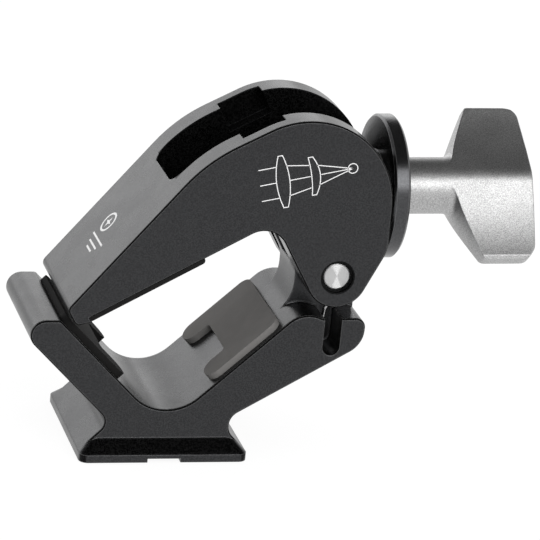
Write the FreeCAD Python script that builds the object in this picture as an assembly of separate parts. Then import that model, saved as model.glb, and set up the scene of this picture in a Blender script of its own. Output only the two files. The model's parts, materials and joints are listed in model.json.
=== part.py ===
import FreeCAD, Part
import math
import os

# Binocular clamp: a vee jaw on a square dovetail foot, an upper arm hinged on a cross pin,
# and a wing knob on a swinging stud that draws the arm down.
# Millimetres, +Z up, +X towards the knob, +Y away from the viewer.
# The origin is the middle of the dovetail's underside.

CLEAR = 1.0                 # cutters run this far past the faces they cut

# Dovetail foot
FOOT_SIZE = 38.0            # across the lip, both ways
LIP_HEIGHT = 1.75
LIP_CORNER = 2.0
DOVETAIL_ANGLE = 45.0
GROOVE_WIDTH = 7.5
GROOVE_DEPTH = 0.9
SOCKET_CORE = 5.1           # core hole of the tripod thread
SOCKET_MAJOR = 6.35
SOCKET_DEPTH = 7.0

# Lower jaw, profile in X and Z
BODY_WIDTH = 32.0
BEVEL = 0.35
LIMB_TOP = 32.2
LIMB_NOSE_RADIUS = 3.35
LIMB_INNER_RADIUS = 1.0
LIMB_THICKNESS = 7.9
VEE_X = 0.0
VEE_Z = 7.2
VEE_LEFT_ANGLE = 135.0
VEE_RIGHT_ANGLE = 43.1
VEE_RADIUS = 10.4
BELLY_X = 21.9
BELLY_Z = 13.6
BELLY_ANGLE = 30.7
LUG_RIGHT = 44.0
LUG_TOP = 33.0
LUG_TOP_RADIUS = 2.2
LUG_BELLY_RADIUS = 6.0
NECK_LEFT_RADIUS = 2.7
NECK_RIGHT_RADIUS = 3.6
CREST_X = 34.2              # the lug's crest falls to this point beside the slot
CREST_Z = 32.8
CREST_ANGLE = -20.0
CREST_RADIUS = 6.5
RELIEF_WIDTH = 4.0          # slot in the lug below the pivot, for the spring legs
RELIEF_FLOOR = 24.2
RELIEF_X = 36.5

# Pivot
PIVOT_X = 36.4
PIVOT_Z = 42.6
PIN_RADIUS = 3.0
PIN_RECESS = 1.0
PIN_CHAMFER = 0.25
PIN_COUNTERBORE = 3.6
BUSH_RADIUS = 4.0
BUSH_RUNNING = 0.05
BUSH_INSET = 1.0
BUSH_END_PLAY = 0.1         # between a bush and the arm's wall
LOBE_RADIUS = 7.05
LOBE_POCKET = 9.7

# Tongue that stands up between the arm's walls
TONGUE_WIDTH = 14.0
TONGUE_LEFT = 29.2
TONGUE_RIGHT = 43.2
TONGUE_HEAD = 6.9
TONGUE_ROUND_SHARE = 0.98   # how fully the head is rounded; 1 is a half circle
TONGUE_START = 22.6         # X where the root leaves the vee's right slope
TONGUE_SUNK = 4.0           # how deep the root reaches into the lug
TONGUE_FILLET = 9.0
TONGUE_BEND = 6.0
STUD_GATE = 7.0             # width of the cut that lets the stud swing
STUD_GATE_ROOM = 0.6        # round the stud, both when it stands up and when it lies down
STUD_GATE_FLOOR = 42.4

# Upper arm, profile in X and Z
SWING_X = 27.4              # the stud swings about this line
SWING_Z = 58.6
BACK_RADIUS = 19.9          # the disc rides round this arc
CROWN_ANGLE = 27.8
NOSE_EDGE_X = -3.1
NOSE_EDGE_DROP = 18.7       # below the top of the back arc
NOSE_EDGE_ANGLE = 50.5
BEND_RADIUS = 36.0
UNDERSIDE_X = 6.3
UNDERSIDE_Z = 47.0
UNDERSIDE_ANGLE = 29.5
THROAT_ANGLE = -59.7
THROAT_RADIUS = 5.6
HEEL_ANGLE = 64.0
HEEL_RADIUS = 8.0
NOSE_LEFT_X = -23.75
NOSE_BOTTOM_X = -21.6
NOSE_BOTTOM_Z = 31.0
NOSE_RADIUS = 1.6
WALL_GAP = 18.6             # between the two walls of the arm
SLOT_LEFT = -1.4
SLOT_CORNER = 3.0
WEB_RIGHT = 8.0
WEB_THICKNESS = 4.0
NOTCH_WIDTH = 25.2
NOTCH_LENGTH = 10.2
NOTCH_DEPTH = 6.0
NOTCH_BACK = 6.1            # from the start of the back arc, towards the nose

# Pads
PAD_THICKNESS = 1.5
PAD_START = 14.3
PAD_END = 34.5
PAD_WIDTH = 28.4
PAD_CORNER = 2.6
PAD_LEG = 6.4
PAD_LEG_ROUND_SHARE = 0.48  # radius of a leg's end as a share of its width
PAD_FORK = 21.0
PAD_FORK_CORNER = 1.0
ARM_PAD_THICKNESS = 1.2
ARM_PAD_WIDTH = 30.4
ARM_PAD_START = -18.6
ARM_PAD_END = 5.9
ARM_PAD_EDGE = 0.84         # round along the pad's inner end

# Opening springs
WIRE_RADIUS = 0.35
COIL_RADIUS = 4.75
COIL_START = 7.4
COIL_PITCH = 0.74
COIL_TURNS = 2
LEG_ANGLE = -10.0           # where the lower leg leaves the coil
LEG_BENDS = ((-0.3, -16.2), (0.4, -10.4), (2.2, -7.2))
SPRING_TIP_RADIUS = 9.6
SPRING_TIP_ANGLE = 112.0
SPRING_TIP_GAP = 0.3        # between the tip and its groove's floor
TIP_GROOVE_DEPTH = 1.4
TIP_GROOVE_WIDTH = 1.6
TIP_GROOVE_SWEEP = 36.0
TIP_GROOVE_LEAD = 4.0

# Clamping parts on the stud
STUD_TILT = 0.86            # degrees that the stud points up at rest
STUD_RADIUS = 3.0
STUD_REAR = 15.4            # from the swing line to the free end
STUD_FRONT = 50.0
STUD_CHAMFER = 0.6
THREAD_RUNNING = 0.05
NUT_RADIUS = 5.0
NUT_RUNNING = 0.05
NUT_LENGTH = 13.6
NUT_CHAMFER = 0.4
DISC_OVERHANG = 0.15        # how far the disc's rim stands out past the arm's sides
DISC_THICKNESS = 3.7
DISC_GAP = 0.3
DISC_BEVEL = 0.5
BOSS_RADIUS = 8.2
BOSS_HEIGHT = 1.3
NOSE_PIECE_RADIUS = 4.7
NOSE_PIECE_RUNNING = 0.08
RING_SEAT_RADIUS = 6.6
RING_SEAT_DEPTH = 1.7
RING_THICKNESS = 0.8
RING_OUTER = 6.1
RING_INNER = 4.2
RING_OPENING = 2.4
WASHER_RADIUS = 7.4
WASHER_THICKNESS = 0.8
RING_PLAY = 0.05
NOSE_PIECE_INSET = 0.3      # the knob's nose stops this far inside the boss

# Wing knob
NECK_RADIUS = 6.4
NECK_FILLET = 2.0
NECK_RIGHT = 64.5           # X where the flare would leave the neck if it were sharp
WING_SPAN = 18.7
WING_TIP_START = 70.6
WING_TIP_END = 82.5
WING_END = 82.8
WING_END_SPAN = 8.0
WING_END_RADIUS = 3.0
WING_TIP_FILLET = 1.0
WING_TIP_THICKNESS = 3.6
WING_CORNER = 3.2
WING_EDGE = 0.8             # bevel along the wing tips
WING_TURN = -42.0


def at(x, y, z):
    return FreeCAD.Vector(x, y, z)


def heading(angle):
    return math.cos(math.radians(angle)), math.sin(math.radians(angle))


def beside(x, z, angle, distance):
    """Point to the left of a heading, seen from the front."""
    dx, dz = heading(angle + 90.0)
    return x + distance * dx, z + distance * dz


def meet(first, first_angle, second, second_angle):
    """Corner where two straight outline stretches cross."""
    ax, az = heading(first_angle)
    bx, bz = heading(second_angle)
    cross = ax * bz - az * bx
    gap_x = second[0] - first[0]
    gap_z = second[1] - first[1]
    run = (gap_x * bz - gap_z * bx) / cross
    return first[0] + run * ax, first[1] + run * az


def outline(corners):
    """Closed face in the XZ plane from corners (x, z, radius), each rounded by a tangent arc."""
    edges = []
    ends = []
    count = len(corners)
    for i in range(count):
        x, z, radius = corners[i]
        here = at(x, 0, z)
        before = at(corners[i - 1][0], 0, corners[i - 1][1]) - here
        after = at(corners[(i + 1) % count][0], 0, corners[(i + 1) % count][1]) - here
        before.normalize()
        after.normalize()
        if radius == 0:
            ends.append((here, None, here))
            continue
        half = before.getAngle(after) / 2.0
        back = radius / math.tan(half)
        middle = before + after
        middle.normalize()
        reach = radius / math.sin(half) - radius
        ends.append((here + before * back, here + middle * reach, here + after * back))
    for i in range(count):
        start, middle, end = ends[i]
        if middle is not None:
            edges.append(Part.Arc(start, middle, end).toShape())
        following = ends[(i + 1) % count][0]
        if end.distanceToPoint(following) > 1e-4:
            edges.append(Part.makeLine(end, following))
    return Part.Face(Part.Wire(Part.__sortEdges__(edges)))


def plate(face, low, high):
    """The XZ face carried from Y = low to Y = high."""
    moved = face.copy()
    moved.translate(at(0, low, 0))
    return moved.extrude(at(0, high - low, 0))


def centred_plate(face, width):
    return plate(face, -width / 2.0, width / 2.0)


def box(x0, x1, y0, y1, z0, z1):
    return Part.makeBox(x1 - x0, y1 - y0, z1 - z0, at(x0, y0, z0))


def cross_rod(x, z, radius, low, high):
    return Part.makeCylinder(radius, high - low, at(x, low, z), at(0, 1, 0))


def rim_edges(rod):
    return [e for e in rod.Edges if len(e.Vertexes) == 1]


def stud_rod(radius, start, end):
    return Part.makeCylinder(radius, end - start, at(start, 0, SWING_Z), at(1, 0, 0))


def bevel_sides(solid, width, size):
    """Bevel the outline edges of the two flat sides."""
    edges = []
    for side in (-width / 2.0, width / 2.0):
        edges += [e for e in solid.Edges if all(abs(v.Y - side) < 1e-6 for v in e.Vertexes)]
    return solid.makeChamfer(size, edges)


# Lower jaw

def jaw_outline():
    limb_outer = beside(VEE_X, VEE_Z, VEE_LEFT_ANGLE, LIMB_THICKNESS)
    foot = FOOT_SIZE / 2.0
    top_left = meet(limb_outer, VEE_LEFT_ANGLE, (0.0, LIMB_TOP), 0.0)
    top_inner = meet((VEE_X, VEE_Z), VEE_LEFT_ANGLE, (0.0, LIMB_TOP), 0.0)
    crest = meet((VEE_X, VEE_Z), VEE_RIGHT_ANGLE, (CREST_X, CREST_Z), CREST_ANGLE)
    lug_low = meet((BELLY_X, BELLY_Z), BELLY_ANGLE, (LUG_RIGHT, 0.0), 90.0)
    right_neck = meet((BELLY_X, BELLY_Z), BELLY_ANGLE, (foot, LIP_HEIGHT), 180.0 - DOVETAIL_ANGLE)
    left_neck = meet(limb_outer, VEE_LEFT_ANGLE, (-foot, LIP_HEIGHT), DOVETAIL_ANGLE)
    return outline([
        (top_left[0], top_left[1], LIMB_NOSE_RADIUS),
        (top_inner[0], top_inner[1], LIMB_INNER_RADIUS),
        (VEE_X, VEE_Z, VEE_RADIUS),
        (crest[0], crest[1], CREST_RADIUS),
        (CREST_X, CREST_Z, 0),
        (LUG_RIGHT, LUG_TOP, LUG_TOP_RADIUS),
        (lug_low[0], lug_low[1], LUG_BELLY_RADIUS),
        (right_neck[0], right_neck[1], NECK_RIGHT_RADIUS),
        (foot, LIP_HEIGHT, 0),
        (foot, 0, 0),
        (-foot, 0, 0),
        (-foot, LIP_HEIGHT, 0),
        (left_neck[0], left_neck[1], NECK_LEFT_RADIUS),
    ])


def rounded_square(half, corner, height):
    """Level square outline with rounded corners."""
    corners = []
    for x, z in ((-half, -half), (half, -half), (half, half), (-half, half)):
        corners.append((x, z, corner))
    face = outline(corners)
    face.rotate(at(0, 0, 0), at(1, 0, 0), 90)
    face.translate(at(0, 0, height))
    return face.OuterWire


def foot_block():
    """Square lip with a frustum above it that carries the dovetail flanks."""
    half = FOOT_SIZE / 2.0
    inset = half - BODY_WIDTH / 2.0
    rise = inset * math.tan(math.radians(DOVETAIL_ANGLE))
    top_corner = LIP_CORNER * (half - inset) / half
    underside = Part.Face(rounded_square(half, LIP_CORNER, 0))
    lip = underside.extrude(at(0, 0, LIP_HEIGHT))
    low = rounded_square(half, LIP_CORNER, LIP_HEIGHT)
    high = rounded_square(half - inset, top_corner, LIP_HEIGHT + rise)
    return lip.fuse(Part.makeLoft([low, high], True, True))


def tongue_outline():
    lean = math.degrees(math.atan2(SWING_Z - PIVOT_Z, SWING_X - PIVOT_X))
    ux, uz = heading(lean)
    left = beside(SWING_X, SWING_Z, lean, TONGUE_HEAD)
    right = beside(SWING_X, SWING_Z, lean, -TONGUE_HEAD)
    shoulder = meet(left, lean, (TONGUE_LEFT, 0.0), 90.0)
    side = meet(right, lean, (TONGUE_RIGHT, 0.0), 90.0)
    root = meet((VEE_X, VEE_Z), VEE_RIGHT_ANGLE, (TONGUE_LEFT, 0.0), 90.0)
    start = meet((VEE_X, VEE_Z), VEE_RIGHT_ANGLE, (TONGUE_START, 0.0), 90.0)
    round_end = TONGUE_ROUND_SHARE * TONGUE_HEAD
    return outline([
        (start[0], start[1] - TONGUE_SUNK, 0),
        (start[0], start[1], 0),
        (root[0], root[1], TONGUE_FILLET),
        (shoulder[0], shoulder[1], TONGUE_BEND),
        (left[0] + TONGUE_HEAD * ux, left[1] + TONGUE_HEAD * uz, round_end),
        (right[0] + TONGUE_HEAD * ux, right[1] + TONGUE_HEAD * uz, round_end),
        (side[0], side[1], TONGUE_HEAD),
        (TONGUE_RIGHT, LUG_TOP - TONGUE_SUNK, 0),
    ])


def jaw_pocket():
    """Room round the arm's lobes, and the leg slots under the pivot, beside the tongue."""
    half = BODY_WIDTH / 2.0
    tongue = TONGUE_WIDTH / 2.0
    cuts = []
    for low, high in ((-half - CLEAR, -tongue), (tongue, half + CLEAR)):
        cuts.append(cross_rod(PIVOT_X, PIVOT_Z, LOBE_POCKET, low, high))
        floor = RELIEF_FLOOR + RELIEF_WIDTH / 2.0
        cuts.append(cross_rod(RELIEF_X, floor, RELIEF_WIDTH / 2.0, low, high))
        left = RELIEF_X - RELIEF_WIDTH / 2.0
        cuts.append(box(left, left + RELIEF_WIDTH, low, high, floor, PIVOT_Z))
    return cuts


def stud_gate():
    """Cuts that let the stud swing through the tongue."""
    half = STUD_GATE / 2.0
    left = TONGUE_LEFT - 2.0 * TONGUE_HEAD
    top = SWING_Z + 2.0 * TONGUE_HEAD
    room = STUD_RADIUS + STUD_GATE_ROOM
    over = box(left, TONGUE_RIGHT + CLEAR, -half, half, SWING_Z - room, top)
    under = box(left, SWING_X + room, -half, half, STUD_GATE_FLOOR, top)
    return over.fuse(under)


def tripod_socket():
    """Core hole of the tripod thread with a chamfered mouth."""
    core = SOCKET_CORE / 2.0
    major = SOCKET_MAJOR / 2.0
    hole = Part.makeCylinder(core, SOCKET_DEPTH, at(0, 0, 0))
    return hole.fuse(Part.makeCone(major, core, major - core, at(0, 0, GROOVE_DEPTH)))


def lower_jaw():
    half_foot = FOOT_SIZE / 2.0 + CLEAR
    half_groove = GROOVE_WIDTH / 2.0
    reach = TONGUE_WIDTH / 2.0 + CLEAR
    body = bevel_sides(centred_plate(jaw_outline(), BODY_WIDTH), BODY_WIDTH, BEVEL)
    body = body.cut(box(-half_foot, half_foot, -half_foot, half_foot, -CLEAR, LIP_HEIGHT))
    body = body.fuse(foot_block())
    for cut in jaw_pocket():
        body = body.cut(cut)
    body = body.fuse(centred_plate(tongue_outline(), TONGUE_WIDTH))
    body = body.cut(stud_gate())
    body = body.cut(cross_rod(SWING_X, SWING_Z, NUT_RADIUS + NUT_RUNNING, -reach, reach))
    body = body.cut(cross_rod(PIVOT_X, PIVOT_Z, BUSH_RADIUS, -reach, reach))
    groove = box(-half_groove, half_groove, -half_foot, half_foot, -CLEAR, GROOVE_DEPTH)
    return body.cut(groove).cut(tripod_socket()).removeSplitter()


# Upper arm

def underside_at(x, away=0.0):
    start = beside(UNDERSIDE_X, UNDERSIDE_Z, UNDERSIDE_ANGLE, away)
    return meet(start, UNDERSIDE_ANGLE, (x, 0.0), 90.0)


def crown_start():
    return beside(SWING_X, SWING_Z, CROWN_ANGLE, BACK_RADIUS)


def arm_outline():
    pin = (PIVOT_X, PIVOT_Z)
    under = (UNDERSIDE_X, UNDERSIDE_Z)
    throat_side = beside(pin[0], pin[1], THROAT_ANGLE, -LOBE_RADIUS)
    heel_side = beside(pin[0], pin[1], HEEL_ANGLE, -LOBE_RADIUS)
    throat = meet(under, UNDERSIDE_ANGLE, throat_side, THROAT_ANGLE)
    lobe = meet(throat_side, THROAT_ANGLE, heel_side, HEEL_ANGLE)
    back = SWING_X + BACK_RADIUS
    heel = meet(heel_side, HEEL_ANGLE, (back, 0.0), 90.0)
    crown = crown_start()
    top = meet(crown, CROWN_ANGLE, (back, 0.0), 90.0)
    slope = (NOSE_EDGE_X, SWING_Z + BACK_RADIUS - NOSE_EDGE_DROP)
    bend = meet(slope, NOSE_EDGE_ANGLE, crown, CROWN_ANGLE)
    nose = meet(slope, NOSE_EDGE_ANGLE, (NOSE_LEFT_X, 0.0), 90.0)
    step = underside_at(ARM_PAD_START)
    lip = beside(step[0], step[1], UNDERSIDE_ANGLE, -ARM_PAD_THICKNESS)
    return outline([
        (nose[0], nose[1], NOSE_RADIUS),
        (NOSE_BOTTOM_X, NOSE_BOTTOM_Z, NOSE_RADIUS),
        (lip[0], lip[1], 0),
        (step[0], step[1], 0),
        (throat[0], throat[1], THROAT_RADIUS),
        (lobe[0], lobe[1], LOBE_RADIUS),
        (heel[0], heel[1], HEEL_RADIUS),
        (top[0], top[1], BACK_RADIUS),
        (bend[0], bend[1], BEND_RADIUS),
    ])


def arm_slot():
    """Slot between the walls: square-ended above the web, open below it towards the hinge."""
    half = WALL_GAP / 2.0
    right = SWING_X + BACK_RADIUS + CLEAR
    block = box(SLOT_LEFT, right, -half, half, NOSE_BOTTOM_Z, SWING_Z + 2.0 * BACK_RADIUS)
    ends = []
    for edge in block.Edges:
        first, last = edge.Vertexes
        if abs(first.X - SLOT_LEFT) < 1e-6 and abs(last.Y - first.Y) + abs(last.X - first.X) < 1e-6:
            ends.append(edge)
    block = block.makeFillet(SLOT_CORNER, ends)
    floor_left = underside_at(SLOT_LEFT - CLEAR, WEB_THICKNESS)
    floor_right = underside_at(WEB_RIGHT, WEB_THICKNESS)
    web = outline([
        (floor_left[0], floor_left[1], 0),
        (floor_right[0], floor_right[1], 0),
        (WEB_RIGHT, 0, 0),
        (floor_left[0], 0, 0),
    ])
    return block.cut(centred_plate(web, 2.0 * WALL_GAP))


def arm_notch():
    """Wider gate across the slot at the start of the back arc."""
    crown = crown_start()
    ux, uz = heading(CROWN_ANGLE)
    nx, nz = heading(CROWN_ANGLE + 90.0)
    left = -NOTCH_BACK
    right = NOTCH_LENGTH - NOTCH_BACK
    corners = []
    over = NOTCH_DEPTH
    for along, up in ((left, -NOTCH_DEPTH), (right, -NOTCH_DEPTH), (right, over), (left, over)):
        corners.append((crown[0] + along * ux + up * nx, crown[1] + along * uz + up * nz, 0))
    return centred_plate(outline(corners), NOTCH_WIDTH)


def tip_groove(side):
    """Arc groove in a wall's inner face where the spring tip pushes."""
    half = WALL_GAP / 2.0
    inner = SPRING_TIP_RADIUS - TIP_GROOVE_WIDTH / 2.0
    outer = SPRING_TIP_RADIUS + TIP_GROOVE_WIDTH / 2.0
    middle = SPRING_TIP_ANGLE + TIP_GROOVE_SWEEP / 2.0
    marks = []
    for radius in (inner, outer):
        row = []
        for angle in (SPRING_TIP_ANGLE - TIP_GROOVE_LEAD, middle, SPRING_TIP_ANGLE + TIP_GROOVE_SWEEP):
            ux, uz = heading(angle)
            row.append(at(PIVOT_X + radius * ux, 0, PIVOT_Z + radius * uz))
        marks.append(row)
    edges = [
        Part.Arc(marks[0][0], marks[0][1], marks[0][2]).toShape(),
        Part.makeLine(marks[0][2], marks[1][2]),
        Part.Arc(marks[1][2], marks[1][1], marks[1][0]).toShape(),
        Part.makeLine(marks[1][0], marks[0][0]),
    ]
    face = Part.Face(Part.Wire(edges))
    if side > 0:
        return plate(face, half - CLEAR, half + TIP_GROOVE_DEPTH)
    return plate(face, -half - TIP_GROOVE_DEPTH, CLEAR - half)


def upper_arm():
    arm = bevel_sides(centred_plate(arm_outline(), BODY_WIDTH), BODY_WIDTH, BEVEL)
    arm = arm.cut(arm_slot()).cut(arm_notch())
    half = BODY_WIDTH / 2.0
    arm = arm.cut(cross_rod(PIVOT_X, PIVOT_Z, PIN_RADIUS, -half, half))
    for side in (-1, 1):
        face = side * half
        inner = side * (half - PIN_RECESS)
        low = min(face, inner)
        arm = arm.cut(cross_rod(PIVOT_X, PIVOT_Z, PIN_COUNTERBORE, low, low + PIN_RECESS))
        arm = arm.cut(tip_groove(side))
    return arm.removeSplitter()


# Pads

def jaw_pad(angle):
    """Forked pad laid on one slope of the vee, legs pointing down."""
    half = PAD_WIDTH / 2.0
    inner = half - PAD_LEG
    leg_end = PAD_LEG_ROUND_SHARE * PAD_LEG
    flat = at(0, 0, 0)
    corners = [
        (PAD_START, -half, leg_end), (PAD_END, -half, PAD_CORNER),
        (PAD_END, half, PAD_CORNER), (PAD_START, half, leg_end),
        (PAD_START, inner, leg_end), (PAD_FORK, inner, PAD_FORK_CORNER),
        (PAD_FORK, -inner, PAD_FORK_CORNER), (PAD_START, -inner, leg_end),
    ]
    pad = plate(outline(corners), -PAD_THICKNESS, 0)
    pad.rotate(flat, at(1, 0, 0), -90)
    if angle < 90.0:
        pad.rotate(flat, at(0, 1, 0), -angle)
    else:
        pad.rotate(flat, at(0, 0, 1), 180)
        pad.rotate(flat, at(0, 1, 0), 180.0 - angle)
    pad.translate(at(VEE_X, 0, VEE_Z))
    return pad


def arm_pad():
    start = underside_at(ARM_PAD_START)
    end = underside_at(ARM_PAD_END)
    low_start = beside(start[0], start[1], UNDERSIDE_ANGLE, -ARM_PAD_THICKNESS)
    low_end = beside(end[0], end[1], UNDERSIDE_ANGLE, -ARM_PAD_THICKNESS)
    face = outline([
        (start[0], start[1], 0),
        (end[0], end[1], 0),
        (low_end[0], low_end[1], ARM_PAD_EDGE),
        (low_start[0], low_start[1], 0),
    ])
    return centred_plate(face, ARM_PAD_WIDTH)


# Pivot parts

def pivot_pin():
    reach = BODY_WIDTH / 2.0 - PIN_RECESS
    pin = cross_rod(PIVOT_X, PIVOT_Z, PIN_RADIUS, -reach, reach)
    return pin.makeChamfer(PIN_CHAMFER, rim_edges(pin))


def pivot_bush(side):
    outer_end = WALL_GAP / 2.0 - BUSH_END_PLAY
    low = min(side * BUSH_INSET, side * outer_end)
    high = max(side * BUSH_INSET, side * outer_end)
    bush = cross_rod(PIVOT_X, PIVOT_Z, BUSH_RADIUS, low, high)
    return bush.cut(cross_rod(PIVOT_X, PIVOT_Z, PIN_RADIUS + BUSH_RUNNING, low - CLEAR, high + CLEAR))


def wire_run(points):
    """Round wire along straight stretches, with a ball at each bend."""
    solid = None
    for start, end in zip(points, points[1:]):
        length = start.distanceToPoint(end)
        piece = Part.makeCylinder(WIRE_RADIUS, length, start, end - start)
        piece = piece.fuse(Part.makeSphere(WIRE_RADIUS, start))
        solid = piece if solid is None else solid.fuse(piece)
    return solid


def coil_arc(level, drop, first, sweep):
    """Stretch of one coil round +Z; a half turn also climbs by drop."""
    lean = math.degrees(math.atan2(drop / 2.0, COIL_RADIUS))
    radius = math.hypot(drop / 2.0, COIL_RADIUS)
    arc = Part.makeTorus(radius, WIRE_RADIUS, at(0, 0, 0), at(0, 0, 1), 0, 360, sweep)
    arc.rotate(at(0, 0, 0), at(0, 1, 0), lean)
    arc.rotate(at(0, 0, 0), at(0, 0, 1), first)
    arc.translate(at(0, 0, level + drop / 2.0))
    return arc


def opening_spring(side):
    """Coils round the bush, one leg down the lug's slot, the other up to the arm."""
    half_turns = 2 * COIL_TURNS
    climb = COIL_PITCH / 2.0
    top = COIL_PITCH * COIL_TURNS
    leave = SPRING_TIP_ANGLE - math.degrees(math.acos(COIL_RADIUS / SPRING_TIP_RADIUS))
    spring = coil_arc(top, 0.0, LEG_ANGLE, leave - LEG_ANGLE)
    for i in range(half_turns):
        spring = spring.fuse(coil_arc(climb * i, climb, LEG_ANGLE + 180.0 * i, 180.0))
    knees = [at(dx, dz, 0) for dx, dz in LEG_BENDS]
    ux, uz = heading(LEG_ANGLE)
    spring = spring.fuse(wire_run(knees + [at(COIL_RADIUS * ux, COIL_RADIUS * uz, 0)]))
    ux, uz = heading(SPRING_TIP_ANGLE)
    tip = at(SPRING_TIP_RADIUS * ux, SPRING_TIP_RADIUS * uz, top)
    reach = WALL_GAP / 2.0 + TIP_GROOVE_DEPTH - SPRING_TIP_GAP - WIRE_RADIUS
    peg = at(tip.x, tip.y, reach - COIL_START)
    ux, uz = heading(leave)
    spring = spring.fuse(wire_run([peg, tip, at(COIL_RADIUS * ux, COIL_RADIUS * uz, top)]))
    # Turned from round +Z to round -Y, which keeps the angles as seen from the front.
    spring.rotate(at(0, 0, 0), at(1, 0, 0), 90)
    spring.translate(at(PIVOT_X, -COIL_START, PIVOT_Z))
    if side > 0:
        spring = spring.mirror(at(0, 0, 0), at(0, 1, 0))
    return spring.removeSplitter()


# Clamping parts, built level and then tilted about the swing line

def tilted(shape):
    shape.rotate(at(SWING_X, 0, SWING_Z), at(0, 1, 0), -STUD_TILT)
    return shape


def barrel_nut():
    half = NUT_LENGTH / 2.0
    nut = cross_rod(SWING_X, SWING_Z, NUT_RADIUS, -half, half)
    nut = nut.makeChamfer(NUT_CHAMFER, rim_edges(nut))
    reach = NUT_RADIUS + CLEAR
    bore = stud_rod(STUD_RADIUS + THREAD_RUNNING, SWING_X - reach, SWING_X + reach)
    return tilted(nut.cut(bore))


def clamp_stud():
    stud = stud_rod(STUD_RADIUS, SWING_X - STUD_REAR, SWING_X + STUD_FRONT)
    return tilted(stud.makeChamfer(STUD_CHAMFER, rim_edges(stud)))


# Places along the stud that follow from the sizes above
DISC_LEFT = SWING_X + BACK_RADIUS + DISC_GAP
DISC_RIGHT = DISC_LEFT + DISC_THICKNESS
NECK_LEFT = DISC_RIGHT + WASHER_THICKNESS
RING_RIGHT = DISC_LEFT - BOSS_HEIGHT + RING_SEAT_DEPTH
DISC_RADIUS = BODY_WIDTH / 2.0 + DISC_OVERHANG


def pressure_disc():
    disc = stud_rod(DISC_RADIUS, DISC_LEFT, DISC_RIGHT)
    disc = disc.makeChamfer(DISC_BEVEL, rim_edges(disc))
    disc = disc.fuse(stud_rod(BOSS_RADIUS, DISC_LEFT - BOSS_HEIGHT, DISC_LEFT + CLEAR))
    seat = DISC_LEFT - BOSS_HEIGHT
    bore = stud_rod(NOSE_PIECE_RADIUS + NOSE_PIECE_RUNNING, seat - CLEAR, DISC_RIGHT + CLEAR)
    return tilted(disc.cut(bore).cut(stud_rod(RING_SEAT_RADIUS, seat - CLEAR, RING_RIGHT)))


def snap_ring():
    right = RING_RIGHT - RING_PLAY
    left = right - RING_THICKNESS
    ring = stud_rod(RING_OUTER, left, right)
    ring = ring.cut(stud_rod(RING_INNER, left - CLEAR, right + CLEAR))
    half = RING_OPENING / 2.0
    mouth = box(left - CLEAR, right + CLEAR, -half, half, SWING_Z, SWING_Z + RING_OUTER + CLEAR)
    return tilted(ring.cut(mouth))


def thrust_washer():
    washer = stud_rod(WASHER_RADIUS, DISC_RIGHT, NECK_LEFT)
    bore = stud_rod(NOSE_PIECE_RADIUS + NOSE_PIECE_RUNNING, DISC_RIGHT - CLEAR, NECK_LEFT + CLEAR)
    return tilted(washer.cut(bore))


def knob_profile():
    """Turned half profile: neck, flare, tips and domed end."""
    face = outline([
        (NECK_LEFT, 0, 0),
        (NECK_LEFT, NECK_RADIUS, 0),
        (NECK_RIGHT, NECK_RADIUS, NECK_FILLET),
        (WING_TIP_START, WING_SPAN, WING_TIP_FILLET),
        (WING_TIP_END, WING_SPAN, WING_CORNER),
        (WING_END, WING_END_SPAN, WING_END_RADIUS),
        (WING_END, 0, 0),
    ])
    return face.revolve(at(0, 0, 0), at(1, 0, 0), 360)


def wing_section():
    """Cross-section of the milled wings: a round hub, flats that close towards bevelled tips."""
    half = WING_TIP_THICKNESS / 2.0
    reach = math.hypot(half, WING_SPAN)
    lean = math.asin(NECK_RADIUS / reach) - math.asin(half / reach)
    hub_y = NECK_RADIUS * math.cos(lean)
    hub_w = NECK_RADIUS * math.sin(lean)
    tip_w = WING_SPAN - WING_EDGE
    tip_y = hub_y - (tip_w - hub_w) * math.tan(lean)
    past = WING_EDGE + CLEAR
    corners = [(hub_y, hub_w), (tip_y, tip_w), (tip_y - past, tip_w + past)]
    corners += [(-y, w) for y, w in reversed(corners)]
    edges = []
    for turn in (1, -1):
        points = [at(0, turn * y, turn * w) for y, w in corners]
        edges.append(Part.makePolygon(points))
        hub = at(0, turn * NECK_RADIUS, 0)
        edges.append(Part.Arc(points[0], hub, at(0, points[0].y, -points[0].z)).toShape())
    lines = []
    for piece in edges:
        lines += piece.Edges
    return Part.Face(Part.Wire(Part.__sortEdges__(lines)))


def wings():
    """Neck and both wings about the X axis, turned and then milled flat."""
    start = NECK_RIGHT - NECK_FILLET
    wide = 2.0 * WING_SPAN
    flats = wing_section().extrude(at(WING_END - start + CLEAR, 0, 0))
    flats.translate(at(start, 0, 0))
    room = box(start, WING_END + CLEAR, -wide, wide, -wide, wide)
    return knob_profile().cut(room.cut(flats)).removeSplitter()


def wing_knob():
    knob = wings()
    knob.rotate(at(0, 0, 0), at(1, 0, 0), WING_TURN)
    knob.translate(at(0, 0, SWING_Z))
    nose_end = DISC_LEFT - BOSS_HEIGHT + NOSE_PIECE_INSET
    knob = knob.fuse(stud_rod(NOSE_PIECE_RADIUS, nose_end, NECK_LEFT + CLEAR))
    ring_left = RING_RIGHT - RING_THICKNESS - RING_PLAY
    groove = stud_rod(NECK_RADIUS, ring_left, RING_RIGHT)
    groove = groove.cut(stud_rod(RING_INNER, ring_left, RING_RIGHT))
    knob = knob.cut(groove)
    knob = knob.cut(stud_rod(STUD_RADIUS, SWING_X, SWING_X + STUD_FRONT))
    return tilted(knob.removeSplitter())


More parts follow.
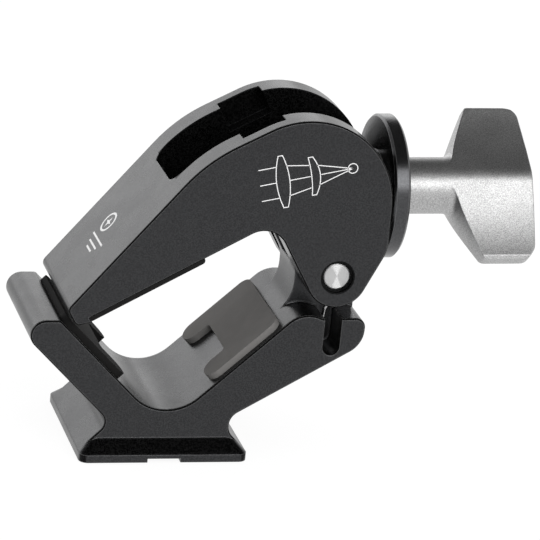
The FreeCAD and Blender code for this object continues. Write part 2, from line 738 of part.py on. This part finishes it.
PARTS = {
    "lower_jaw": (lower_jaw,),
    "left_jaw_pad": (jaw_pad, VEE_LEFT_ANGLE),
    "right_jaw_pad": (jaw_pad, VEE_RIGHT_ANGLE),
    "upper_arm": (upper_arm,),
    "arm_pad": (arm_pad,),
    "pivot_pin": (pivot_pin,),
    "pivot_bush_front": (pivot_bush, -1),
    "pivot_bush_back": (pivot_bush, 1),
    "opening_spring_front": (opening_spring, -1),
    "opening_spring_back": (opening_spring, 1),
    "barrel_nut": (barrel_nut,),
    "clamp_stud": (clamp_stud,),
    "pressure_disc": (pressure_disc,),
    "snap_ring": (snap_ring,),
    "thrust_washer": (thrust_washer,),
    "wing_knob": (wing_knob,),
}

os.makedirs("parts", exist_ok=True)
for node, (make, *places) in PARTS.items():
    shape = make(*places)
    print(node, shape.ShapeType, len(shape.Solids), shape.isValid(), round(shape.Volume, 1))
    shape.exportStep("parts/" + node + ".step")
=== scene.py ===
import math
import json

import bpy
import bmesh
from mathutils import Matrix, Vector


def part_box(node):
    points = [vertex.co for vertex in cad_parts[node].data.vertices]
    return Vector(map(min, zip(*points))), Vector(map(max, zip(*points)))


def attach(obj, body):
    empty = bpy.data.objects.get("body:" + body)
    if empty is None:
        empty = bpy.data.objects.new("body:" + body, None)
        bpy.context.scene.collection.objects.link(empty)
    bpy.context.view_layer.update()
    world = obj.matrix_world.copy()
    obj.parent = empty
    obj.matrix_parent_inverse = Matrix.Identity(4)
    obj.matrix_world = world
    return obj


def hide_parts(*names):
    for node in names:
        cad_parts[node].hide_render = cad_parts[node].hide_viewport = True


# Binocular clamp: materials, marks, stud thread, light and camera. Metres, +Z up.

MM = 0.001

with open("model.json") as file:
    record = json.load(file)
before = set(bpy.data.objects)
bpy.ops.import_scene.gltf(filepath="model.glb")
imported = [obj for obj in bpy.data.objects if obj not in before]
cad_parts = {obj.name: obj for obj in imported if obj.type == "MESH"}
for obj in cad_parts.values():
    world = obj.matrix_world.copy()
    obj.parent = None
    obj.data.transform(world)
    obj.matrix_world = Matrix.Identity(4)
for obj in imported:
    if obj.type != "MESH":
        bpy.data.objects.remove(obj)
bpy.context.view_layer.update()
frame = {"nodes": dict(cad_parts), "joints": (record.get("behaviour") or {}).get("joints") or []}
nodes = frame["nodes"]
joints = {joint["name"]: joint for joint in frame["joints"]}

# Places that the part gives

PIVOT = Vector(joints["arm_open"]["pos_m"])             # middle of the arm's hinge pin
SWING = Vector(joints["stud_swing"]["pos_m"])           # middle of the stud's swing axis
STUD_AXIS = Vector(joints["knob_turn"]["axis"])
ARM_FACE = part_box("upper_arm")[0].y                     # the arm's front face


# Helpers for node trees

class Nodes:
    """Short calls for building a node tree."""

    def __init__(self, tree):
        self.tree = tree
        self.tree.nodes.clear()

    def add(self, kind, **settings):
        node = self.tree.nodes.new(kind)
        for key, value in settings.items():
            setattr(node, key, value)
        return node

    def feed(self, target, value):
        """Links another node's socket to the target, or sets a number, vector or colour on it."""
        if isinstance(value, bpy.types.NodeSocket):
            self.tree.links.new(value, target)
        else:
            target.default_value = value

    def call(self, kind, inputs, output=0, **settings):
        """A new node with these inputs fed; gives one of its outputs."""
        node = self.add(kind, **settings)
        for key, value in inputs.items():
            self.feed(node.inputs[key], value)
        return node.outputs[output]

    def math(self, operation, first, second=0.0):
        return self.call("ShaderNodeMath", {0: first, 1: second}, operation=operation)

    def vector_math(self, operation, first, second=(0.0, 0.0, 0.0), output="Vector"):
        return self.call("ShaderNodeVectorMath", {0: first, 1: second}, output, operation=operation)

    def split(self, vector):
        node = self.add("ShaderNodeSeparateXYZ")
        self.feed(node.inputs[0], vector)
        return node.outputs

    def span(self, value, low, high, out_low, out_high, **settings):
        """The value's range from low to high mapped to another range, and held at its ends."""
        inputs = {"Value": value, "From Min": low, "From Max": high,
                  "To Min": out_low, "To Max": out_high}
        return self.call("ShaderNodeMapRange", inputs, "Result", **settings)

    def mixed(self, share, first, second):
        """A blend of two shaders."""
        return self.call("ShaderNodeMixShader", {0: share, 1: first, 2: second})

    def seen_directly(self):
        """1 for rays from the camera, a reflection or glass, and 0 for light that falls on things."""
        path = self.add("ShaderNodeLightPath").outputs
        mirrored = self.math("MAXIMUM", path["Is Glossy Ray"], path["Is Transmission Ray"])
        return self.math("MAXIMUM", path["Is Camera Ray"], mirrored)


class Finish(Nodes):
    """A material with one Principled shader, laid out in the piece's own space."""

    def __init__(self, name, **values):
        self.material = bpy.data.materials.new(name)
        self.material.use_nodes = True
        super().__init__(self.material.node_tree)
        self.shader = self.add("ShaderNodeBsdfPrincipled")
        output = self.add("ShaderNodeOutputMaterial")
        self.feed(output.inputs["Surface"], self.shader.outputs["BSDF"])
        self.place = self.add("ShaderNodeTexCoord").outputs["Object"]
        for key, value in values.items():
            self.feed(self.shader.inputs[key.replace("_", " ")], value)

    def noise(self, scale, detail=2.0, roughness=0.5):
        inputs = {"Vector": self.place, "Scale": scale, "Detail": detail, "Roughness": roughness}
        return self.call("ShaderNodeTexNoise", inputs, "Fac")

    def tones(self, value, low, high, start=0.3, end=0.7):
        """Colour that runs from low to high as the value goes from start to end."""
        node = self.add("ShaderNodeValToRGB")
        self.feed(node.inputs["Fac"], value)
        for element, position, colour in zip(node.color_ramp.elements, (start, end), (low, high)):
            element.position = position
            element.color = (*colour, 1.0)
        return node.outputs["Color"]

    def around(self, value, middle, spread):
        """A number that the noise moves by up to the spread about its middle."""
        return self.span(value, 0.3, 0.7, middle - spread, middle + spread)

    def bump(self, height, strength, distance, before=None):
        inputs = {"Height": height, "Strength": strength, "Distance": distance}
        if before is not None:
            inputs["Normal"] = before
        return self.call("ShaderNodeBump", inputs)

    def from_axis(self, centre, axis):
        """Distance from a line along X or Y through the centre."""
        across = (0.0, 1.0, 1.0) if axis == "X" else (1.0, 0.0, 1.0)
        shift = self.vector_math("SUBTRACT", self.place, centre)
        return self.vector_math("LENGTH", self.vector_math("MULTIPLY", shift, across), output="Value")

    def rounded_edges(self, radius):
        return self.call("ShaderNodeBevel", {"Radius": radius}, samples=8)

    def edge_wear_and_highlight(self):
        """1 along the sharp edges and 0 on the faces between them: the mask of a painted edge highlight
        that also stands for edge wear.
        """
        flat = self.add("ShaderNodeNewGeometry").outputs["Normal"]
        turned = self.vector_math("DOT_PRODUCT", self.rounded_edges(EDGE_WEAR_AND_HIGHLIGHT_WIDTH), flat, "Value")
        return self.span(turned, 0.995, 0.95, 0.0, 1.0)

    def painted_shade_faces(self):
        """1 on bevels and flanks, whose faces lean between Y and the plane across it, else 0: the mask
        of painted shade picked by the way a face leans.
        """
        flat = self.add("ShaderNodeNewGeometry").outputs["True Normal"]
        own = self.call("ShaderNodeVectorTransform", {"Vector": flat}, vector_type="NORMAL",
                        convert_from="WORLD", convert_to="OBJECT")
        lean = self.math("ABSOLUTE", self.split(own)["Y"])
        return self.math("MULTIPLY", self.span(lean, 0.30, 0.45, 0.0, 1.0),
                         self.span(lean, 0.97, 0.93, 0.0, 1.0))

    def surface(self, colour, roughness, normal):
        for key, value in (("Base Color", colour), ("Roughness", roughness), ("Normal", normal)):
            self.feed(self.shader.inputs[key], value)
        return self.material


def grey(level, warm=0.0):
    return (level * (1.0 + warm), level, level * (1.0 - warm))


# Finishes

MIX_COLOURS = (6, 7)            # the Mix node's inputs for colours, and its output for them
MIX_RESULT = 2
BEADS = 3300.0                  # noise cells for each metre, as the next two
BARE_BEADS = 5000.0
SMEARS = 140.0                  # slow unevenness of the gloss
COOL = (0.95, 0.96, 1.0, 1.0)   # tint of what the black dye reflects
SPECK = 0.006                   # brightest speck in the black dye
EDGE_WEAR_AND_HIGHLIGHT = 0.12                     # brightness of the painted highlight along the edges, partly real wear where the dye is rubbed off
EDGE_WEAR_AND_HIGHLIGHT_WIDTH = 0.16 * MM
BEAD_RELIEF = 0.03 * MM
PAINTED_SHADE_SHINE = 0.15                # painted shade: the share of a blasted face's shine left on bevels and flanks
WING_ROOT = 7.0 * MM            # from the knob's axis, where its faces begin to hollow
WING_HOLLOW = 11.0
TURNING = 42000.0               # radians of tool marks for each metre

# Recesses of the arm that get painted shade
BORE_REACH = 3.9 * MM           # from the pivot to just outside the pin's counterbore
SLOT_REACH = 9.35 * MM          # half the gap between the arm's walls, and a little more
SLOT_START = -0.6 * MM          # along X, just inside the slot's left end
NOTCH = Vector((18.7, 0.0, 73.0)) * MM
NOTCH_REACH = 12.65 * MM        # half its width, and a little more
NOTCH_RADIUS = 5.85 * MM        # from the notch's middle to its corners


def arm_shaded_recesses(s):
    """Painted shade in the arm's recesses: 1 in the counterbore round the pin, between the arm's walls
    and in their notch, else 0.
    """
    along, across, _ = s.split(s.place)
    across = s.math("ABSOLUTE", across)
    bore = s.math("LESS_THAN", s.from_axis(PIVOT, "Y"), BORE_REACH)
    slot = s.math("MULTIPLY", s.math("LESS_THAN", across, SLOT_REACH),
                  s.math("GREATER_THAN", along, SLOT_START))
    notch = s.math("MULTIPLY", s.math("LESS_THAN", across, NOTCH_REACH),
                   s.math("LESS_THAN", s.from_axis(NOTCH, "Y"), NOTCH_RADIUS))
    return s.math("MAXIMUM", bore, s.math("MAXIMUM", slot, notch))


def anodised(name, speck, rough, edge, specular=0.5, shade_shine=1.0, shaded_recesses=None):
    """Bead-blasted and dyed black: speckle in colour and relief, edges broken, with a painted highlight
    along them that also stands for rubbed-off dye.

    Bevels and flanks, picked by which way they lean, throw back only the share of the light given for
    them: painted shade.
    The arm's recesses get the same painted shade, and no painted edge highlight.
    """
    s = Finish(name, Specular_Tint=COOL)
    beads = s.noise(BEADS, 2.0, 0.6)
    shine = s.span(beads, 0.40, 0.60, specular * 0.85, specular * 1.15)
    # painted highlight along the sharp edges, also standing for worn dye
    wear_and_highlight = s.edge_wear_and_highlight()
    if shade_shine < 1.0:
        # painted shade on bevels and flanks, picked by the way they lean
        shaded_share = s.painted_shade_faces()
        if shaded_recesses:
            # painted shade in the arm's recesses
            recess_shade = shaded_recesses(s)
            shaded_share = s.math("MAXIMUM", shaded_share, recess_shade)
            wear_and_highlight = s.math("MULTIPLY", wear_and_highlight, s.math("SUBTRACT", 1.0, recess_shade))
        shine = s.math("MULTIPLY", shine, s.span(shaded_share, 0.0, 1.0, 1.0, shade_shine))
    s.feed(s.shader.inputs["Specular IOR Level"], shine)
    dye = s.tones(beads, grey(0.0), grey(speck), 0.42, 0.60)
    # light grey of the painted edge highlight, also standing for bare metal at worn edges
    wear_and_highlight_colour = (*grey(EDGE_WEAR_AND_HIGHLIGHT), 1.0)
    colour = s.call("ShaderNodeMix", {"Factor": wear_and_highlight, MIX_COLOURS[0]: dye, MIX_COLOURS[1]: wear_and_highlight_colour},
                    MIX_RESULT, data_type="RGBA")
    relief = s.bump(beads, 0.5, BEAD_RELIEF, s.rounded_edges(edge))
    return s.surface(colour, s.around(s.noise(SMEARS), rough, 0.03), relief)


def blasted(name, dark, light, rough, edge, centre):
    """Bead-blasted bare metal; its broad faces are hollowed a little away from an axis along X."""
    s = Finish(name, Metallic=1.0)
    beads = s.noise(BARE_BEADS, 2.0, 0.6)
    colour = s.tones(beads, grey(dark), grey(light), 0.40, 0.61)
    relief = s.bump(beads, 0.5, BEAD_RELIEF, s.rounded_edges(edge))
    far = s.math("MAXIMUM", s.math("SUBTRACT", s.from_axis(centre, "X"), WING_ROOT), 0.0)
    hollow = s.math("MULTIPLY", s.math("MULTIPLY", far, far), WING_HOLLOW)
    return s.surface(colour, s.around(s.noise(SMEARS), rough, 0.03), s.bump(hollow, 1.0, 1.0, relief))


def rubber(name, level, rough, warm):
    s = Finish(name, Specular_IOR_Level=0.12)
    pits = s.noise(3200.0, 4.0, 0.7)
    dust = s.noise(260.0, 3.0)
    colour = s.tones(dust, grey(level * 0.95, warm), grey(level * 1.05, warm))
    return s.surface(colour, s.around(pits, rough, 0.08), s.bump(pits, 0.35, 0.06 * MM))


def turned_steel(name, level, rough, centre, axis):
    """Lathe-turned face: fine rings about an axis along X or Y."""
    s = Finish(name, Metallic=1.0, Anisotropic=1.0, Anisotropic_Rotation=0.25)
    rings = s.math("SINE", s.math("MULTIPLY", s.from_axis(centre, axis), TURNING))
    fine = s.noise(5200.0)
    tangent = s.call("ShaderNodeTangent", {}, direction_type="RADIAL", axis=axis)
    s.feed(s.shader.inputs["Tangent"], tangent)
    colour = s.tones(fine, grey(level * 0.92), grey(level * 1.08))
    return s.surface(colour, s.around(fine, rough, 0.04), s.bump(rings, 0.12, 0.01 * MM))


def plain_metal(name, colour, rough):
    s = Finish(name, Metallic=1.0)
    fine = s.noise(2600.0, 3.0)
    tone = s.tones(fine, [0.85 * part for part in colour], [1.12 * part for part in colour])
    return s.surface(tone, s.around(fine, rough, 0.06), s.bump(fine, 0.15, 0.02 * MM))


def plastic(name, level, rough):
    s = Finish(name)
    fine = s.noise(1500.0, 3.0)
    colour = s.tones(fine, grey(level * 0.95, 0.01), grey(level, 0.01))
    return s.surface(colour, s.around(fine, rough, 0.05), s.bump(fine, 0.1, 0.02 * MM))


def ink(name, level, rough):
    """Light laser marking with a slightly uneven burn."""
    s = Finish(name, Specular_IOR_Level=0.3)
    burn = s.noise(2400.0, 3.0)
    colour = s.tones(burn, grey(level * 0.86), grey(level), 0.25, 0.75)
    return s.surface(colour, s.around(burn, rough, 0.075), s.bump(burn, 0.2, 0.01 * MM))


body_black = anodised("body_black", SPECK, 0.28, 0.75 * MM, shade_shine=PAINTED_SHADE_SHINE)
arm_black = anodised("arm_black", SPECK, 0.27, 0.40 * MM, shade_shine=PAINTED_SHADE_SHINE, shaded_recesses=arm_shaded_recesses)
disc_black = anodised("disc_satin_black", 0.004, 0.22, 0.25 * MM, specular=0.85)
knob_silver = blasted("knob_silver", 0.30, 0.55, 0.42, 0.40 * MM, SWING)
# the pads' rubber made nearly black: painted shade for the pads that sit in shadow
pad_rubber_shaded = rubber("pad_rubber_painted_shade", 0.010, 0.80, 0.02)
pad_warm = rubber("pad_rubber_warm", 0.175, 0.85, 0.03)
pin_bright = turned_steel("pin_turned", 0.66, 0.42, PIVOT, "Y")
spring_wire = plain_metal("spring_wire", grey(0.62), 0.28)
nut_dark = plain_metal("nut_dark", grey(0.22), 0.42)
stud_dark = plain_metal("stud_steel", grey(0.42), 0.34)
bronze = plain_metal("bush_bronze", (0.55, 0.38, 0.19), 0.36)
washer = plastic("washer_natural", 0.72, 0.45)
mark_light = ink("mark_light", 0.92, 0.675)

FINISH = {
    "lower_jaw": body_black,
    "upper_arm": arm_black,
    "left_jaw_pad": pad_rubber_shaded,
    "right_jaw_pad": pad_warm,
    "arm_pad": pad_rubber_shaded,
    "pivot_pin": pin_bright,
    "pivot_bush_front": bronze,
    "pivot_bush_back": bronze,
    "opening_spring_front": spring_wire,
    "opening_spring_back": spring_wire,
    "barrel_nut": nut_dark,
    "clamp_stud": stud_dark,
    "pressure_disc": disc_black,
    "snap_ring": spring_wire,
    "thrust_washer": washer,
    "wing_knob": knob_silver,
}

for node_name, material in FINISH.items():
    node = nodes[node_name]
    if not node.material_slots:
        node.data.materials.append(material)
    for slot in node.material_slots:
        slot.material = material


# Pieces of the scene's own

def show(name, data, place=(0.0, 0.0, 0.0)):
    """A new object in the scene."""
    thing = bpy.data.objects.new(name, data)
    thing.location = place
    bpy.context.scene.collection.objects.link(thing)
    return thing


def new_piece(name, shape, material, body):
    """A mesh that shape(bm) builds, riding with a CAD body."""
    bm = bmesh.new()
    shape(bm)
    bmesh.ops.recalc_face_normals(bm, faces=bm.faces)
    mesh = bpy.data.meshes.new(name)
    bm.to_mesh(mesh)
    bm.free()
    mesh.materials.append(material)
    piece = show(name, mesh)
    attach(piece, body)
    return piece


# Marks: thin solids drawn in millimetres on a face, where place(u, v, height) gives a point in space

MARK_PROUD = 0.02
MARK_SUNK = 0.03
SHARPEST = 0.35                 # limits how far a band's outer corner reaches at a sharp turn


def ribbon(bm, points, width, closed, place):
    """Band along the flat points (u, v)."""
    count = len(points)
    rows = []
    for i in range(count):
        here = Vector(points[i])
        before = here - Vector(points[i - 1])
        after = Vector(points[(i + 1) % count]) - here
        if not closed and i == 0:
            before = after
        if not closed and i == count - 1:
            after = before
        before.normalize()
        along = (before + after.normalized()).normalized()
        side = Vector((-along.y, along.x)) * width / 2.0 / max(SHARPEST, along.dot(before))
        row = []
        for edge, height in ((side, MARK_PROUD), (-side, MARK_PROUD), (-side, -MARK_SUNK),
                             (side, -MARK_SUNK)):
            row.append(bm.verts.new(place(here.x + edge.x, here.y + edge.y, height)))
        rows.append(row)
    for i in range(count if closed else count - 1):
        join(bm, rows[i], rows[(i + 1) % count])
    if not closed:
        bm.faces.new(rows[0])
        bm.faces.new(list(reversed(rows[-1])))


def join(bm, first, second):
    """Faces between two rings of as many points."""
    count = len(first)
    for k in range(count):
        m = (k + 1) % count
        bm.faces.new((first[k], first[m], second[m], second[k]))


def slab(bm, points, place):
    """Filled outline of the flat points (u, v)."""
    tops = [bm.verts.new(place(u, v, MARK_PROUD)) for u, v in points]
    lows = [bm.verts.new(place(u, v, -MARK_SUNK)) for u, v in points]
    join(bm, tops, lows)
    bm.faces.new(tops)
    bm.faces.new(list(reversed(lows)))


def ring(u, v, radii, steps):
    """Closed points round a centre, whose distances from it run through the radii in turn."""
    points = []
    for i in range(steps):
        angle = 2.0 * math.pi * i / steps
        radius = radii[i % len(radii)]
        points.append((u + radius * math.cos(angle), v + radius * math.sin(angle)))
    return points


LENS_STEPS = 14
LENS_EDGE = 0.5                 # half a lens's thickness at its edge


def lens(u, half, left_bulge, right_bulge):
    """Outline of a lens seen from the side; a bulge is how far that face bows outwards."""
    points = []
    for side, bulge in ((1.0, right_bulge), (-1.0, left_bulge)):
        for i in range(LENS_STEPS + 1):
            t = side * (2.0 * i / LENS_STEPS - 1.0)
            points.append((u + side * (LENS_EDGE + bulge * (1.0 - t * t)), half * t))
    return points


SIDE_MIDDLE = (27.6, 66.0)      # X and Z of the drawing's middle
SIDE_LEAN = math.radians(12.0)
RAY_START = -11.2
FOCUS = 9.8
IRIS = 1.1
SIDE_LINE = 0.2


def side_place(u, v, height):
    """u runs along the arm's front face, and v up it."""
    x = SIDE_MIDDLE[0] + u * math.cos(SIDE_LEAN) - v * math.sin(SIDE_LEAN)
    z = SIDE_MIDDLE[1] + u * math.sin(SIDE_LEAN) + v * math.cos(SIDE_LEAN)
    return Vector((x * MM, ARM_FACE - height * MM, z * MM))


def side_mark(bm):
    """A plain ray diagram: two lenses, an iris ring and rays that meet on the axis."""
    outlines = [lens(-6.0, 6.0, 1.0, 1.0), lens(0.6, 4.4, -0.35, 1.3), ring(FOCUS, 0.0, (IRIS,), 28)]
    axis = [((RAY_START, 0.0), (-7.6, 0.0)), ((-4.4, 0.0), (0.2, 0.0)), ((2.6, 0.0), (FOCUS, 0.0))]
    upper = [((RAY_START, 3.6), (-7.2, 3.6)), ((-4.9, 3.5), (0.1, 2.6)), ((1.9, 2.3), (FOCUS, 0.0))]
    lower = [((a, -b), (c, -d)) for (a, b), (c, d) in upper]
    for points in outlines:
        ribbon(bm, points, SIDE_LINE, True, side_place)
    for points in axis + upper + lower:
        ribbon(bm, points, SIDE_LINE, False, side_place)


SLOPE = math.radians(50.5)      # of the arm's front
SLOPE_EDGE = Vector((-3.1, 59.8))       # X and Z of its upper edge
EMBLEM = (-2.2, -14.2)
EMBLEM_RADIUS = 2.35
EMBLEM_LINE = 0.55
STAR_RADII = (1.45, 0.5)
BARS = ((-18.4, 4.6), (-20.0, 3.2), (-21.3, 2.0))       # place down the slope, and half length
BAR_LINE = 0.45


def top_place(u, v, height):
    """u runs towards the viewer's side, v up the arm's front slope."""
    along = Vector((math.cos(SLOPE), math.sin(SLOPE)))
    off = Vector((-math.sin(SLOPE), math.cos(SLOPE)))
    point = SLOPE_EDGE + along * v + off * height
    return Vector((point.x, -u, point.y)) * MM


def top_mark(bm):
    """A ring with a four-pointed star, and three plain bars beside it."""
    ribbon(bm, ring(*EMBLEM, (EMBLEM_RADIUS,), 40), EMBLEM_LINE, True, top_place)
    slab(bm, ring(*EMBLEM, STAR_RADII, 8), top_place)
    for v, half in BARS:
        ribbon(bm, [(-half, v), (half, v)], BAR_LINE, False, top_place)


new_piece("arm_side_mark", side_mark, mark_light, "arm")
new_piece("arm_top_mark", top_mark, mark_light, "arm")


# The stud's thread

STUD_LEFT = -15.4 * MM          # from the swing axis, along the stud
STUD_RIGHT = 50.0 * MM
STUD_RADIUS = 3.0 * MM
STUD_TURN = Vector((1.0, 0.0, 0.0)).rotation_difference(STUD_AXIS).to_matrix()
PITCH = 1.0 * MM
THREAD_DEPTH = 0.55 * MM
THREAD_CHAMFER = 0.7 * MM
ROUND_STEPS = 28
# Share of the pitch along the stud, and share of the depth: crest, flank, root, flank
THREAD_PROFILE = ((0.0, 0.0), (0.12, 0.0), (0.42, 1.0), (0.62, 1.0), (0.92, 0.0))


def thread_row(share):
    """(distance along the stud, radius) of the thread's points at this share of a turn."""
    row = []
    for turn in range(-1, int((STUD_RIGHT - STUD_LEFT) / PITCH) + 1):
        for along, depth in THREAD_PROFILE:
            x = STUD_LEFT + (turn + along + share) * PITCH
            x = min(max(x, STUD_LEFT), STUD_RIGHT)
            to_end = min(x - STUD_LEFT, STUD_RIGHT - x)
            cone = STUD_RADIUS - THREAD_CHAMFER + to_end
            row.append((x, min(STUD_RADIUS - THREAD_DEPTH * depth, cone)))
    return row


def stud_thread(bm):
    """Single-start thread with flat crests and roots, from the free end to inside the knob."""
    rows = []
    for k in range(ROUND_STEPS):
        angle = 2.0 * math.pi * k / ROUND_STEPS
        row = []
        for x, radius in thread_row(k / ROUND_STEPS):
            spot = Vector((x, radius * math.sin(angle), radius * math.cos(angle)))
            row.append(bm.verts.new(SWING + STUD_TURN @ spot))
        rows.append(row)
    for k in range(ROUND_STEPS):
        first = rows[k]
        second = rows[(k + 1) % ROUND_STEPS]
        ahead = len(THREAD_PROFILE) if k == ROUND_STEPS - 1 else 0     # the last row meets the next turn
        for i in range(len(first) - 1 - ahead):
            bm.faces.new((first[i], first[i + 1], second[i + 1 + ahead], second[i + ahead]))
    bmesh.ops.remove_doubles(bm, verts=bm.verts, dist=1e-6)
    bmesh.ops.dissolve_degenerate(bm, edges=bm.edges, dist=1e-7)
    bmesh.ops.holes_fill(bm, edges=[edge for edge in bm.edges if edge.is_boundary], sides=0)


thread = new_piece("stud_thread", stud_thread, stud_dark, "knob")
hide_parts("clamp_stud")


# Floor

FLOOR_SIZE = 6.0
FLOOR_DROP = 0.0002
FLOOR_COLOUR = 0.86
FLOOR_SHADOW = 0.12             # how dark the object's shadow can get on the white
UNSHADED = 0.7                  # share of it that the light gives back in the open


def floor_material():
    """Pale and matt; looked at directly it is white but for the object's shadow."""
    material = bpy.data.materials.new("floor_pale")
    material.use_nodes = True
    s = Nodes(material.node_tree)
    matt = s.call("ShaderNodeBsdfDiffuse", {"Color": (*grey(FLOOR_COLOUR), 1.0)})
    faint = s.call("ShaderNodeBsdfDiffuse", {"Color": (*grey(FLOOR_SHADOW), 1.0)})
    glow = s.call("ShaderNodeEmission", {"Color": (*grey(1.0), 1.0),
                                         "Strength": 1.0 - UNSHADED * FLOOR_SHADOW})
    white = s.call("ShaderNodeAddShader", {0: glow, 1: faint})
    output = s.add("ShaderNodeOutputMaterial")
    s.feed(output.inputs["Surface"], s.mixed(s.seen_directly(), matt, white))
    return material


def floor_plane():
    half = FLOOR_SIZE / 2.0
    corners = [(-half, -half, 0.0), (half, -half, 0.0), (half, half, 0.0), (-half, half, 0.0)]
    mesh = bpy.data.meshes.new("floor")
    mesh.from_pydata(corners, [], [(0, 1, 2, 3)])
    mesh.materials.append(floor_material())
    return show("floor", mesh, (0.0, 0.0, -FLOOR_DROP))


floor_plane()


# Light

TARGET = Vector((0.02, 0.0, 0.04))


def area_light(name, place, width, height, radiance):
    """Soft box; its power follows from its area, so that it shows at this brightness."""
    data = bpy.data.lights.new(name, "AREA")
    data.shape = "RECTANGLE"
    data.size = width
    data.size_y = height
    data.energy = radiance * math.pi * width * height
    light = show(name, data, place)
    light.rotation_euler = (TARGET - Vector(place)).to_track_quat("-Z", "Y").to_euler()
    light.visible_camera = False


area_light("front_box", (0.32, -1.16, 0.68), 1.0, 0.72, 3.6)
area_light("back_box", (-0.45, 1.5, 0.56), 2.4, 0.80, 0.9)
area_light("left_strip", (-1.45, 0.45, 0.50), 1.3, 0.8, 0.85)

ROOM_LEVEL = 0.75
BACKDROP_TOP = 0.40             # as the sine of the height above the horizon
CEILING_START = 0.62
CEILING_LEVEL = 0.09


def studio_world():
    """Dim room; looked at directly a white backdrop, and in reflections a dim ceiling above it."""
    world = bpy.data.worlds.new("studio")
    bpy.context.scene.world = world
    world.use_nodes = True
    s = Nodes(world.node_tree)
    dim = s.call("ShaderNodeBackground", {"Color": (*grey(ROOM_LEVEL), 1.0)})
    height = s.split(s.add("ShaderNodeTexCoord").outputs["Generated"])["Z"]
    fade = s.span(height, BACKDROP_TOP, CEILING_START, 1.0, CEILING_LEVEL,
                  interpolation_type="SMOOTHSTEP")
    level = s.math("MAXIMUM", fade, s.add("ShaderNodeLightPath").outputs["Is Camera Ray"])
    white = s.call("ShaderNodeBackground", {"Color": (*grey(1.0), 1.0), "Strength": level})
    output = s.add("ShaderNodeOutputWorld")
    s.feed(output.inputs["Surface"], s.mixed(s.seen_directly(), dim, white))


studio_world()


# Camera, fitted to the object's corners in the photograph

CAMERA_PLACE = Vector((-170.5225, -690.7533, 287.2121)) * MM
CAMERA_RIGHT = Vector((0.966207, -0.240125, 0.093726))
CAMERA_UP = Vector((-0.006633, 0.340323, 0.940285))
CAMERA_AHEAD = Vector((0.257683, 0.909132, -0.327230))
SENSOR_WIDTH = 36.0             # millimetres, as the lens
CAMERA_LENS = 225.648


def photo_camera():
    data = bpy.data.cameras.new("photo_camera")
    data.sensor_fit = "HORIZONTAL"
    data.sensor_width = SENSOR_WIDTH
    data.lens = CAMERA_LENS
    data.clip_start = 0.05
    data.clip_end = 20.0
    camera = show("photo_camera", data)
    turn = Matrix((CAMERA_RIGHT, CAMERA_UP, -CAMERA_AHEAD)).transposed().to_4x4()
    camera.matrix_world = Matrix.Translation(CAMERA_PLACE) @ turn
    return camera


bpy.context.scene.camera = photo_camera()
bpy.context.scene.view_settings.view_transform = "Standard"
